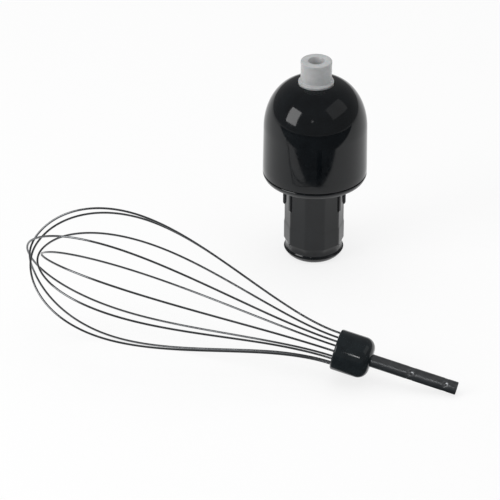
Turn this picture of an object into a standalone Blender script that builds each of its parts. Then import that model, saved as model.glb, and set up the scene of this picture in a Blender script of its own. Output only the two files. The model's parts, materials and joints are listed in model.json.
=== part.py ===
"""Whisk attachment of an immersion blender: a balloon whisk and the geared adapter that drives it.

The adapter stands on the end that enters the motor body, with its output socket up. The whisk lies
in front of it, on the end of its shaft and the lowest wire of its balloon. Lengths are in metres,
+Z is up, and the origin is on the floor under the middle of the whole set.
"""
import math

import bmesh
import bpy
from mathutils import Matrix, Vector

for old_object in list(bpy.data.objects):
    bpy.data.objects.remove(old_object, do_unlink=True)

# Clearances
SEAT_GAP = 0.0003            # between pieces that rest on or sit in each other
RUN_GAP = 0.00015            # radial, between a shaft and what it turns in
THRUST_GAP = 0.0003          # axial, between faces that turn past each other
CLIP_PLAY = 0.0001           # between a snap ring and each side of its groove
CUT_OVERRUN = 0.001          # a cutter reaches this far past the face that it opens

# Edges
EDGE_BREAK = 0.0003          # the usual small break of an edge
EDGE_BEVEL = 0.0008          # the larger bevel of turned inner pieces

# Dome housing
DOME_WALL = 0.0022
DOME_DRAFT = 0.00035             # the dome's foot is this much wider than its shoulder
DOME_SHOULDER_HEIGHT = 0.0238    # from the dome's lower edge up to where the wall starts to curve
CROWN_RISE = 0.0247              # height of the curved crown
CROWN_FLAT_RADIUS = 0.0080       # the crown's curve ends this far from the axis
MOUTH_DEPTH = 0.0040             # from the crown's edge down to the shelf over the seal
SEAL_COLLAR_WALL = 0.0020

# Neck moulding, upwards from its foot
SEAM_HEIGHT = 0.0468             # lower edge of the dome above the foot
FACETS = 10
NECK_RADIUS = 0.01495            # over the corners of the facets
NECK_LOWER_RADIUS = 0.0152
NECK_STEP_HEIGHT = 0.01775
NECK_STEP_SLOPE = 0.0004
NECK_BORE_RADIUS = 0.0112
NECK_BORE_BEVEL = 0.0010
CHAMFER_HEIGHT = 0.0081
GROOVE_HEIGHT = 0.0057
GROOVE_RADIUS = 0.0141
GROOVE_ROUNDNESS = 0.6           # 0 follows the facets, 1 is a circle
LIP_HEIGHT = 0.0031
LIP_RADIUS = 0.01505
FOOT_RADIUS = 0.01265
BASE_THICKNESS = 0.0029          # of the ring under the dome
BASE_CHAMFER = 0.0022
BASE_TAPER = 0.00105             # the ring's lower edge is this much narrower than the dome
NECK_FILLET = 0.0040
FLOOR_THICKNESS = 0.0040
FLOOR_DISH = 0.0005
BUSH_BOSS_RADIUS = 0.0075
BUSH_BOSS_DROP = 0.0055
REGISTER_HEIGHT = 0.0035
REGISTER_WALL = 0.0016
RIB_WIDTH = 0.0018
RIB_HEIGHT = 0.00075             # how far a bayonet rib stands out of the corner it runs along
RIB_ROOT = 0.0012                # how far a rib reaches into the neck's wall
RIB_END_HEIGHT = 0.0272
RIB_END_SLOPE = (0.0004, 0.0010)
RIB_CORNERS = (0, 1, 4, 5, 6, 9)

# Gears
MODULE = 0.0007
SUN_TEETH = 15
PLANET_TEETH = 18
RING_TEETH = SUN_TEETH + 2 * PLANET_TEETH
PLANETS = 3
PRESSURE_ANGLE = math.radians(20)
ADDENDUM = 0.9                   # in modules
DEDENDUM = 1.25
BACKLASH = 0.00009               # each flank stands back this far
GEAR_FACE = 0.0087               # width of the planets' and the sun's teeth
GEAR_INSET = 0.0018              # from the ring gear's lower face up to the planets' lower face
RING_COVER = 0.0012              # the ring gear reaches this far above the planets
RING_WALL = 0.004375             # ring gear outside the roots of its teeth
FLANK_STEPS = 1

# Shafts, bushes and bearing plate
INPUT_SHAFT_RADIUS = 0.0020
INPUT_BUSH_WALL = 0.00235
BUSH_FLANGE_RADIUS = 0.0062
BUSH_FLANGE = 0.0010
PILOT_DEPTH = 0.0018             # input shaft's upper end inside the carrier
CLIP_THICKNESS = 0.0007
CLIP_GROOVE_DEPTH = 0.0004
CLIP_WIDTH = 0.0019
CLIP_OPENING = math.radians(50)
CLIP_RISE = 0.0016               # output snap ring above the carrier
PIN_RADIUS = 0.00175
PIN_HEAD_RADIUS = 0.0030
PIN_HEAD = 0.0009
CARRIER_THICKNESS = 0.0038
CARRIER_RIM = 0.0037             # carrier beyond the centres of the pins
PLATE_THICKNESS = 0.0025
PLATE_BOSS_WALL = 0.0038
PLATE_BOSS_FILLET = 0.0012
OUTPUT_BUSH_WALL = 0.0020
SCREW_RADIUS = 0.0010
SCREW_HEAD_RADIUS = 0.0019
SCREW_HEAD = 0.0016
SCREW_HEAD_CROWN = 0.6           # share of the head below its bevel, and of its radius inside it
SCREW_BITE = 0.0080              # length of the thread in the ring gear
SEAL_HEIGHT = 0.0046
SEAL_WALL = 0.0014
SEAL_GROOVE_DEPTH = 0.0022
SEAL_LIP_WALL = 0.0012
SEAL_LIP_EDGES = (0.0006, 0.0014)   # lower and upper edge of the rubbing face below the seal's top

# Drive coupling in the neck
COUPLING_RADIUS = 0.0065
COUPLING_LENGTH = 0.0157
DRIVE_SOCKET_CORNER = 0.0042     # over the corners of the six-sided drive socket
DRIVE_SOCKET_DEPTH = 0.0065
COUPLING_WEB = 0.0012            # between the drive socket and the shaft's bore
HEXAGON = 6

# Output socket
SOCKET_RADIUS = 0.0076
SOCKET_FOOT_RADIUS = 0.00767
SOCKET_FOOT_FILLET = 0.0006
SOCKET_RIM_RADIUS = 0.00772
SOCKET_RIM = 0.0018
SOCKET_RIM_BEVEL = 0.0007
SOCKET_FLARE = 0.0005
SOCKET_FLANGE_RADIUS = 0.0088
SOCKET_FLANGE = 0.0027
SOCKET_RISE = 0.0106             # from the flange's upper face to the rim
SOCKET_LIP = 0.0008
JOURNAL_RADIUS = 0.0074
FLANGE_PROUD = 0.0011            # flange above the crown's edge
PEG_CORNER_RADIUS = 0.00545
PEG_HEIGHT = 0.0066
LINER_WALL = 0.0013
KEYWAY_WIDTH = 0.0016
KEYWAY_RADIUS = 0.0039
KEYWAYS = 4

# Whisk: steel shaft and collar
SHAFT_RADIUS = 0.00305
SHAFT_VISIBLE = 0.0414
SHAFT_GRIP = 0.0090              # length inside the collar
SHAFT_CHAMFER = 0.0003
CRIMPS = ((0.0190, 0.0031), (0.0358, 0.0022))   # distance from the collar, length
CRIMP_SHARES = (0.62, 0.25)      # where a crimp ends and where its waist starts, in its lengths
CRIMP_DEPTH = 0.00075
CRIMP_EAR = 0.00030
CRIMP_EARS = 4
COLLAR_RADIUS = 0.0097
COLLAR_LENGTH = 0.0176
COLLAR_WIRE_ROUND = 0.0012
COLLAR_SHAFT_ROUND = 0.0052

# Whisk: balloon of sprung wires
WIRE_RADIUS = 0.0005
WIRE_CIRCLE_RADIUS = 0.0081      # where the wires leave the collar
WIRE_GRIP = 0.0075               # length inside the collar
BALLOON_REACH = 0.1528           # from the collar to the outermost wire's tip
BALLOON_RADIUS = 0.0310
BELLY = 0.70                     # widest place, as a share of each loop's reach
FLARE_HANDLE = 0.0305
BELLY_HANDLES = (0.0340, 0.0306)
TIP_HANDLE = 0.0129
TIP_TURN_RADIUS = 0.0140         # the two halves of a loop line up inside this radius
# Each loop: its reach as a share of the balloon's, the turn of its upper and of its lower half in
# degrees from the horizontal, and the width of each half as a share of the balloon's radius
LOOPS = (
    (1.0, 58.7, 63.1, 0.99, 0.99),
    (0.9895, 108.2, 84.5, 1.03, 1.17),
    (0.9797, 143.4, 152.4, 1.02, 1.05),
    (0.9581, 172.4, 179.8, 0.95, 0.97),
    (0.9483, 205.0, 206.5, 1.0, 1.0),
)

# Lay-out on the floor
WHISK_HEADING = math.radians(165.2)      # direction from the collar to the balloon's tip
ADAPTER_PLACE = (-0.0074, 0.1152)        # adapter's axis from the collar's wire face
STEEPEST_TILT = math.radians(40)
TILT_HALVINGS = 30

# Fineness of the round shapes
DOME_SEGMENTS = 40
NECK_SEGMENTS_PER_FACET = 4
PART_SEGMENTS = 28
SHAFT_SEGMENTS = 24
SMALL_SEGMENTS = 20
SCREW_SEGMENTS = 12
WIRE_HOLE_SEGMENTS = 8
WIRE_ROUNDING = 1
CROWN_STEPS = 9
CROWN_INSIDE_STEPS = 4
FILLET_STEPS = 3
COLLAR_ROUND_STEPS = (2, 5)
CLIP_STEPS = 14
LINER_STEPS = 3
WIRE_STEPS = (8, 9)                      # from the collar to the belly, and on to the tip
SMOOTH_ANGLE = math.radians(32)
MERGE = 1e-7


def material(name, colour, roughness, metallic=0.0):
    made = bpy.data.materials.new(name)
    made.use_nodes = True
    shader = made.node_tree.nodes["Principled BSDF"]
    shader.inputs["Base Color"].default_value = (*colour, 1.0)
    shader.inputs["Roughness"].default_value = roughness
    shader.inputs["Metallic"].default_value = metallic
    return made


def arc(centre_r, centre_z, radius, start, end, steps):
    """Points of an arc in a profile, with its angles in degrees."""
    angles = [math.radians(start + (end - start) * i / steps) for i in range(steps + 1)]
    return [(centre_r + radius * math.cos(a), centre_z + radius * math.sin(a)) for a in angles]


def ellipse_arc(centre_r, centre_z, half_width, half_height, start, end, steps):
    angles = [start + (end - start) * i / steps for i in range(steps + 1)]
    return [(centre_r + half_width * math.cos(a), centre_z + half_height * math.sin(a)) for a in angles]


def regular_outline(corners, radius, turn=0.0):
    """A regular polygon, or a circle where it has many corners."""
    return [(radius * math.cos(turn + 2 * math.pi * i / corners),
             radius * math.sin(turn + 2 * math.pi * i / corners)) for i in range(corners)]


def put(mesh, name, paint, parent=None, smooth=True):
    """Makes a named object of a finished bmesh."""
    bmesh.ops.remove_doubles(mesh, verts=mesh.verts, dist=MERGE)
    bmesh.ops.recalc_face_normals(mesh, faces=mesh.faces)
    data = bpy.data.meshes.new(name)
    mesh.to_mesh(data)
    mesh.free()
    if smooth:
        data.shade_smooth()
        data.set_sharp_from_angle(angle=SMOOTH_ANGLE)
    data.materials.append(paint)
    made = bpy.data.objects.new(name, data)
    bpy.context.scene.collection.objects.link(made)
    made.parent = parent
    return made


def turned(profile, segments, closed=True):
    """Turns a profile of (radius, height) points about Z. An open one starts and ends on the axis."""
    mesh = bmesh.new()
    verts = [mesh.verts.new((r, 0.0, z)) for r, z in profile]
    pairs = list(zip(verts, verts[1:] + verts[:1] if closed else verts[1:]))
    edges = [mesh.edges.new(pair) for pair in pairs]
    bmesh.ops.spin(mesh, geom=verts + edges, cent=(0, 0, 0), axis=(0, 0, 1),
                   angle=2 * math.pi, steps=segments, use_merge=True)
    return mesh


def prism(outlines, low, high):
    """A straight body between two heights: the first outline is its outside, the others are holes."""
    mesh = bmesh.new()
    edges = []
    for outline in outlines:
        verts = [mesh.verts.new((x, y, low)) for x, y in outline]
        edges += [mesh.edges.new(pair) for pair in zip(verts, verts[1:] + verts[:1])]
    bmesh.ops.triangle_fill(mesh, use_beauty=True, edges=edges)
    grown = bmesh.ops.extrude_face_region(mesh, geom=list(mesh.faces))
    raised = [item for item in grown["geom"] if isinstance(item, bmesh.types.BMVert)]
    bmesh.ops.translate(mesh, verts=raised, vec=(0, 0, high - low))
    return mesh


def lofted(rings, closed):
    """Skins rings of equal count. A closed loft joins the last ring to the first, an open one is capped."""
    mesh = bmesh.new()
    rows = [[mesh.verts.new(point) for point in ring] for ring in rings]
    count = len(rows[0])
    pairs = list(zip(rows, rows[1:] + rows[:1] if closed else rows[1:]))
    for lower, upper in pairs:
        for i in range(count):
            j = (i + 1) % count
            mesh.faces.new((lower[i], lower[j], upper[j], upper[i]))
    if not closed:
        mesh.faces.new(rows[0])
        mesh.faces.new(rows[-1])
    return mesh


def combine(target, tool_mesh, operation):
    """Cuts a closed bmesh out of an object, or joins it on, and keeps the result as plain mesh."""
    tool = put(tool_mesh, "tool", target.data.materials[0], smooth=False)
    tool.parent = target.parent
    tool.hide_render = True
    tool.display_type = "WIRE"
    step = target.modifiers.new(operation.title(), "BOOLEAN")
    step.operation = operation
    step.solver = "EXACT"
    step.object = tool
    bpy.context.view_layer.update()
    graph = bpy.context.evaluated_depsgraph_get()
    data = bpy.data.meshes.new_from_object(target.evaluated_get(graph))
    target.modifiers.clear()
    old, target.data = target.data, data
    name = old.name
    bpy.data.meshes.remove(old)
    data.name = name
    data.shade_smooth()
    data.set_sharp_from_angle(angle=SMOOTH_ANGLE)
    bpy.data.objects.remove(tool, do_unlink=True)


def drills(places, radius, low, high, corners):
    """One cutter of several upright round rods."""
    rods = bmesh.new()
    for x, y in places:
        rod = prism([[(x + px, y + py) for px, py in regular_outline(corners, radius)]], low, high)
        data = bpy.data.meshes.new("rod")
        rod.to_mesh(data)
        rod.free()
        rods.from_mesh(data)
        bpy.data.meshes.remove(data)
    return rods


# Materials
BLACK_GLOSS = material("black gloss ABS", (0.004, 0.005, 0.006), 0.12)
GREY_SOCKET = material("grey POM", (0.50, 0.51, 0.51), 0.38)
WHITE_LINER = material("natural POM", (0.75, 0.75, 0.72), 0.45)
WIRE_STEEL = material("polished steel wire", (0.55, 0.56, 0.56), 0.18, 1.0)
SHAFT_STEEL = material("bright steel rod", (0.45, 0.46, 0.47), 0.22, 1.0)
GEAR_PLASTIC = material("white gear POM", (0.78, 0.77, 0.70), 0.40)
RING_PLASTIC = material("black gear nylon", (0.02, 0.02, 0.02), 0.50)
BRONZE = material("sintered bronze", (0.45, 0.30, 0.14), 0.45, 1.0)
RUBBER = material("black seal rubber", (0.012, 0.012, 0.012), 0.80)
GEAR_STEEL = material("hardened steel", (0.35, 0.35, 0.36), 0.30, 1.0)
SCREW_STEEL = material("zinc plated screw", (0.62, 0.62, 0.60), 0.30, 1.0)

# Radii that the gears set, outwards to the dome
ORBIT_RADIUS = MODULE * (SUN_TEETH + PLANET_TEETH) / 2
RING_ROOT_RADIUS = MODULE * (RING_TEETH / 2 + DEDENDUM)
GEAR_CASE_RADIUS = RING_ROOT_RADIUS + RING_WALL
SCREW_CIRCLE_RADIUS = (RING_ROOT_RADIUS + GEAR_CASE_RADIUS) / 2
DOME_SHOULDER_RADIUS = GEAR_CASE_RADIUS + SEAT_GAP + DOME_WALL
DOME_BASE_RADIUS = DOME_SHOULDER_RADIUS + DOME_DRAFT
BASE_LOWER_RADIUS = DOME_BASE_RADIUS - BASE_TAPER
REGISTER_RADIUS = DOME_BASE_RADIUS - DOME_WALL - SEAT_GAP

# Heights above the adapter's foot, from the seam up through the gears
BASE_TOP = SEAM_HEIGHT - SEAT_GAP
BASE_UNDERSIDE = BASE_TOP - BASE_THICKNESS
FLOOR_UNDERSIDE = BASE_TOP - FLOOR_THICKNESS
RING_LOW = BASE_TOP + REGISTER_HEIGHT + SEAT_GAP
GEAR_LOW = RING_LOW + GEAR_INSET
GEAR_TOP = GEAR_LOW + GEAR_FACE
RING_TOP = GEAR_TOP + RING_COVER
CARRIER_LOW = GEAR_TOP + THRUST_GAP
CARRIER_TOP = CARRIER_LOW + CARRIER_THICKNESS
PEG_TOP = CARRIER_TOP + PEG_HEIGHT
SOCKET_BOTTOM = CARRIER_TOP + SEAT_GAP
OUTPUT_CLIP_LOW = CARRIER_TOP + CLIP_RISE
PLATE_LOW = OUTPUT_CLIP_LOW + CLIP_THICKNESS + THRUST_GAP
PLATE_TOP = PLATE_LOW + PLATE_THICKNESS
SKIRT_LOW = RING_TOP + SEAT_GAP

# The crown's mouth, and the pieces that hang below it
CROWN_BASE = SEAM_HEIGHT + DOME_SHOULDER_HEIGHT
CROWN_HALF_WIDTH = DOME_SHOULDER_RADIUS - CROWN_FLAT_RADIUS
MOUTH_RADIUS = SOCKET_FLANGE_RADIUS + SEAT_GAP
MOUTH_ANGLE = math.acos((MOUTH_RADIUS - CROWN_FLAT_RADIUS) / CROWN_HALF_WIDTH)
MOUTH_HEIGHT = CROWN_BASE + CROWN_RISE * math.sin(MOUTH_ANGLE)
FLANGE_TOP = MOUTH_HEIGHT + FLANGE_PROUD
FLANGE_LOW = FLANGE_TOP - SOCKET_FLANGE
SOCKET_TOP = FLANGE_TOP + SOCKET_RISE
SEAL_TOP = MOUTH_HEIGHT - MOUTH_DEPTH - SEAT_GAP
BUSH_TOP = SEAL_TOP - SEAL_HEIGHT - SEAT_GAP
BOSS_TOP = BUSH_TOP - BUSH_FLANGE - SEAT_GAP

# Fits round the output shaft and the input shaft
OUTPUT_BUSH_BORE = JOURNAL_RADIUS + RUN_GAP
OUTPUT_BUSH_RADIUS = OUTPUT_BUSH_BORE + OUTPUT_BUSH_WALL
PLATE_BORE_RADIUS = OUTPUT_BUSH_RADIUS + RUN_GAP
BOSS_RADIUS = PLATE_BORE_RADIUS + PLATE_BOSS_WALL
SEAL_COLLAR_RADIUS = BOSS_RADIUS
SEAL_RADIUS = SEAL_COLLAR_RADIUS - SEAL_COLLAR_WALL - RUN_GAP
LINER_BORE_RADIUS = SHAFT_RADIUS + RUN_GAP + CRIMP_EAR / 3
LINER_RADIUS = LINER_BORE_RADIUS + LINER_WALL
LOWER_BUSH_BORE = INPUT_SHAFT_RADIUS + RUN_GAP
LOWER_BUSH_RADIUS = LOWER_BUSH_BORE + INPUT_BUSH_WALL
BOSS_UNDERSIDE = FLOOR_UNDERSIDE - BUSH_BOSS_DROP
INPUT_FLANGE_TOP = BASE_TOP + SEAT_GAP + BUSH_FLANGE
INPUT_CLIP_LOW = INPUT_FLANGE_TOP + THRUST_GAP
COUPLING_TOP = BOSS_UNDERSIDE - THRUST_GAP
COUPLING_LOW = COUPLING_TOP - COUPLING_LENGTH
SHAFT_FOOT = COUPLING_LOW + DRIVE_SOCKET_DEPTH + COUPLING_WEB
SHAFT_HEAD = CARRIER_LOW + PILOT_DEPTH


def neck_ring(radius, height, roundness):
    """One ring of the neck moulding, between the ten-sided outline and a circle."""
    count = FACETS * NECK_SEGMENTS_PER_FACET
    half_facet = math.pi / FACETS
    ring = []
    for i in range(count):
        angle = 2 * math.pi * i / count
        along = angle % (2 * half_facet) - half_facet
        flat = math.cos(half_facet) / math.cos(along)
        reach = radius * (flat * (1 - roundness) + roundness)
        ring.append((reach * math.cos(angle), reach * math.sin(angle), height))
    return ring


def make_neck_moulding(adapter):
    """Foot, snap lip, ten-sided neck with bayonet ribs, base ring and the floor that carries the bush."""
    fillet = []
    for i in range(FILLET_STEPS + 1):
        angle = math.pi / 2 * i / FILLET_STEPS
        radius = NECK_RADIUS + NECK_FILLET * (1 - math.cos(angle))
        height = BASE_UNDERSIDE - NECK_FILLET * (1 - math.sin(angle))
        fillet.append(neck_ring(radius, height, i / FILLET_STEPS))
    rings = [
        neck_ring(FOOT_RADIUS, 0.0, 1),
        neck_ring(LIP_RADIUS, LIP_HEIGHT, 1),
        neck_ring(GROOVE_RADIUS, GROOVE_HEIGHT, GROOVE_ROUNDNESS),
        neck_ring(NECK_LOWER_RADIUS, CHAMFER_HEIGHT, 0),
        neck_ring(NECK_LOWER_RADIUS, NECK_STEP_HEIGHT - NECK_STEP_SLOPE, 0),
        neck_ring(NECK_RADIUS, NECK_STEP_HEIGHT, 0),
        *fillet,
        neck_ring(BASE_LOWER_RADIUS, BASE_UNDERSIDE, 1),
        neck_ring(DOME_BASE_RADIUS, BASE_UNDERSIDE + BASE_CHAMFER, 1),
        neck_ring(DOME_BASE_RADIUS, BASE_TOP, 1),
        neck_ring(REGISTER_RADIUS, BASE_TOP, 1),
        neck_ring(REGISTER_RADIUS, BASE_TOP + REGISTER_HEIGHT, 1),
        neck_ring(REGISTER_RADIUS - REGISTER_WALL, BASE_TOP + REGISTER_HEIGHT, 1),
        neck_ring(REGISTER_RADIUS - REGISTER_WALL, BASE_TOP - FLOOR_DISH, 1),
        neck_ring(BUSH_FLANGE_RADIUS + FLOOR_DISH, BASE_TOP - FLOOR_DISH, 1),
        neck_ring(BUSH_FLANGE_RADIUS, BASE_TOP, 1),
        neck_ring(LOWER_BUSH_RADIUS + RUN_GAP, BASE_TOP, 1),
        neck_ring(LOWER_BUSH_RADIUS + RUN_GAP, BOSS_UNDERSIDE, 1),
        neck_ring(BUSH_BOSS_RADIUS, BOSS_UNDERSIDE, 1),
        neck_ring(BUSH_BOSS_RADIUS, FLOOR_UNDERSIDE, 1),
        neck_ring(NECK_BORE_RADIUS - NECK_BORE_BEVEL, FLOOR_UNDERSIDE, 1),
        neck_ring(NECK_BORE_RADIUS, FLOOR_UNDERSIDE - NECK_BORE_BEVEL, 1),
        neck_ring(NECK_BORE_RADIUS, 0.0, 1),
    ]
    neck = put(lofted(rings, closed=True), "neck_moulding", BLACK_GLOSS, adapter)
    rib_top = BASE_UNDERSIDE - NECK_FILLET / 2
    outer = NECK_RADIUS + RIB_HEIGHT
    inner = NECK_RADIUS - RIB_ROOT
    slope_in, slope_up = RIB_END_SLOPE
    for corner in RIB_CORNERS:
        turn = Matrix.Rotation(2 * math.pi * corner / FACETS, 4, "Z")
        side = [(inner, RIB_END_HEIGHT), (outer - slope_in, RIB_END_HEIGHT),
                (outer, RIB_END_HEIGHT + slope_up), (outer, rib_top), (inner, rib_top)]
        rib = lofted([[turn @ Vector((x, y, z)) for x, z in side] for y in (-RIB_WIDTH / 2, RIB_WIDTH / 2)],
                     closed=False)
        combine(neck, rib, "UNION")
    return neck


def make_dome(adapter):
    """Glossy bell with a mouth for the socket and, inside, the collar that holds the seal down."""
    crown = ellipse_arc(CROWN_FLAT_RADIUS, CROWN_BASE, CROWN_HALF_WIDTH, CROWN_RISE, 0.0, MOUTH_ANGLE,
                        CROWN_STEPS)
    crown[-1] = (MOUTH_RADIUS + EDGE_BREAK, crown[-1][1])
    inner_half_width = CROWN_HALF_WIDTH - DOME_WALL
    inner_rise = CROWN_RISE - DOME_WALL
    collar_inner = SEAL_COLLAR_RADIUS - SEAL_COLLAR_WALL
    collar_angle = math.acos((SEAL_COLLAR_RADIUS - CROWN_FLAT_RADIUS) / inner_half_width)
    inside = ellipse_arc(CROWN_FLAT_RADIUS, CROWN_BASE, inner_half_width, inner_rise, collar_angle, 0.0,
                         CROWN_INSIDE_STEPS)
    collar_low = BUSH_TOP + SEAT_GAP
    seal_ceiling = SEAL_TOP + SEAT_GAP
    profile = [(DOME_BASE_RADIUS - DOME_WALL, SEAM_HEIGHT), (DOME_BASE_RADIUS - EDGE_BREAK, SEAM_HEIGHT),
               (DOME_BASE_RADIUS, SEAM_HEIGHT + EDGE_BREAK)]
    profile += crown
    profile += [(MOUTH_RADIUS, MOUTH_HEIGHT - EDGE_BREAK), (MOUTH_RADIUS, seal_ceiling),
                (collar_inner, seal_ceiling), (collar_inner, collar_low), (SEAL_COLLAR_RADIUS, collar_low)]
    profile += inside
    return put(turned(profile, DOME_SEGMENTS), "dome_housing", BLACK_GLOSS, adapter)


def gear_outline(teeth, tip_radius, root_radius, retreat, turn, steps):
    """Involute teeth with one centred at the angle turn. Retreat thins each flank at the pitch circle."""
    pitch_radius = MODULE * teeth / 2
    base_radius = pitch_radius * math.cos(PRESSURE_ANGLE)
    involute = math.tan(PRESSURE_ANGLE) - PRESSURE_ANGLE
    half_tooth = math.pi / 2 / teeth - retreat / pitch_radius

    def half_angle(radius):
        slope = math.acos(min(1.0, base_radius / radius))
        return half_tooth + involute - (math.tan(slope) - slope)

    start = max(root_radius, base_radius)
    radii = [start + (tip_radius - start) * i / steps for i in range(steps + 1)]
    flank = [(radius, half_angle(radius)) for radius in radii]
    if root_radius < base_radius:
        flank.insert(0, (root_radius, half_angle(base_radius)))
    outline = []
    for tooth in range(teeth):
        centre = turn + 2 * math.pi * tooth / teeth
        sides = [(radius, centre - angle) for radius, angle in flank]
        sides += [(radius, centre + angle) for radius, angle in reversed(flank)]
        outline += [(radius * math.cos(angle), radius * math.sin(angle)) for radius, angle in sides]
    return outline


def make_ring_gear(adapter):
    """Fixed internal gear that fills the lower part of the dome. Its tooth spaces are cut like teeth."""
    pitch_radius = MODULE * RING_TEETH / 2
    spaces = gear_outline(RING_TEETH, RING_ROOT_RADIUS, pitch_radius - MODULE * ADDENDUM, -BACKLASH,
                          math.pi / RING_TEETH, FLANK_STEPS)
    outside = regular_outline(DOME_SEGMENTS, GEAR_CASE_RADIUS)
    screw_holes = [[(x + px, y + py) for px, py in regular_outline(SCREW_SEGMENTS, SCREW_RADIUS + RUN_GAP)]
                   for x, y in screw_places()]
    return put(prism([outside, spaces, *screw_holes], RING_LOW, RING_TOP), "ring_gear", RING_PLASTIC, adapter)


def screw_places():
    return regular_outline(PLANETS, SCREW_CIRCLE_RADIUS, math.pi / PLANETS)


def make_bearing_plate(adapter):
    """Lid of the gear case, with the long boss that carries the output bush."""
    inner = RING_ROOT_RADIUS
    profile = [(GEAR_CASE_RADIUS, SKIRT_LOW), (GEAR_CASE_RADIUS, PLATE_TOP - EDGE_BEVEL),
               (GEAR_CASE_RADIUS - EDGE_BEVEL, PLATE_TOP), (BOSS_RADIUS + PLATE_BOSS_FILLET, PLATE_TOP),
               (BOSS_RADIUS, PLATE_TOP + PLATE_BOSS_FILLET), (BOSS_RADIUS, BOSS_TOP),
               (PLATE_BORE_RADIUS, BOSS_TOP), (PLATE_BORE_RADIUS, PLATE_LOW), (inner - EDGE_BEVEL, PLATE_LOW),
               (inner, PLATE_LOW - EDGE_BEVEL), (inner, SKIRT_LOW)]
    plate = put(turned(profile, PART_SEGMENTS), "bearing_plate", RING_PLASTIC, adapter)
    combine(plate, drills(screw_places(), SCREW_RADIUS + SEAT_GAP, SKIRT_LOW - CUT_OVERRUN,
                          PLATE_TOP + CUT_OVERRUN, SCREW_SEGMENTS), "DIFFERENCE")
    for number, (x, y) in enumerate(screw_places(), 1):
        head_low = PLATE_TOP + SEAT_GAP
        tip = RING_TOP - SCREW_BITE
        shape = [(0.0, tip), (SCREW_RADIUS, tip + EDGE_BEVEL), (SCREW_RADIUS, head_low),
                 (SCREW_HEAD_RADIUS, head_low), (SCREW_HEAD_RADIUS, head_low + SCREW_HEAD * SCREW_HEAD_CROWN),
                 (SCREW_HEAD_RADIUS * SCREW_HEAD_CROWN, head_low + SCREW_HEAD), (0.0, head_low + SCREW_HEAD)]
        body = turned(shape, SCREW_SEGMENTS, closed=False)
        screw = put(body, f"plate_screw_{number}", SCREW_STEEL, adapter)
        screw.location = (x, y, 0)
    return plate


def make_bushes_and_seal(adapter):
    lower = [(LOWER_BUSH_BORE, BOSS_UNDERSIDE), (LOWER_BUSH_RADIUS, BOSS_UNDERSIDE),
             (LOWER_BUSH_RADIUS, BASE_TOP + SEAT_GAP), (BUSH_FLANGE_RADIUS, BASE_TOP + SEAT_GAP),
             (BUSH_FLANGE_RADIUS, INPUT_FLANGE_TOP), (LOWER_BUSH_BORE, INPUT_FLANGE_TOP)]
    put(turned(lower, SMALL_SEGMENTS), "lower_bush", BRONZE, adapter)
    flange_radius = SEAL_RADIUS
    upper = [(OUTPUT_BUSH_BORE, PLATE_LOW), (OUTPUT_BUSH_RADIUS, PLATE_LOW),
             (OUTPUT_BUSH_RADIUS, BOSS_TOP + SEAT_GAP), (flange_radius, BOSS_TOP + SEAT_GAP),
             (flange_radius, BUSH_TOP), (OUTPUT_BUSH_BORE, BUSH_TOP)]
    put(turned(upper, PART_SEGMENTS), "upper_bush", BRONZE, adapter)
    low = BUSH_TOP + SEAT_GAP
    lip_radius = JOURNAL_RADIUS + RUN_GAP
    groove = SEAL_TOP - SEAL_GROOVE_DEPTH
    rub_top, rub_low = (SEAL_TOP - drop for drop in SEAL_LIP_EDGES)
    seal = [(lip_radius + SEAL_LIP_WALL, low), (SEAL_RADIUS, low), (SEAL_RADIUS, SEAL_TOP),
            (SEAL_RADIUS - SEAL_WALL, SEAL_TOP), (SEAL_RADIUS - SEAL_WALL, groove),
            (lip_radius + SEAL_LIP_WALL, groove), (lip_radius, rub_top), (lip_radius, rub_low)]
    put(turned(seal, PART_SEGMENTS), "shaft_seal", RUBBER, adapter)


def snap_ring(name, groove_radius, low, body):
    """Open ring that snaps into a groove."""
    inner = groove_radius + RUN_GAP
    outer = inner + CLIP_WIDTH
    sweep = [CLIP_OPENING / 2 + (2 * math.pi - CLIP_OPENING) * i / CLIP_STEPS for i in range(CLIP_STEPS + 1)]
    outline = [(outer * math.cos(a), outer * math.sin(a)) for a in sweep]
    outline += [(inner * math.cos(a), inner * math.sin(a)) for a in reversed(sweep)]
    return put(prism([outline], low, low + CLIP_THICKNESS), name, GEAR_STEEL, body)


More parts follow.
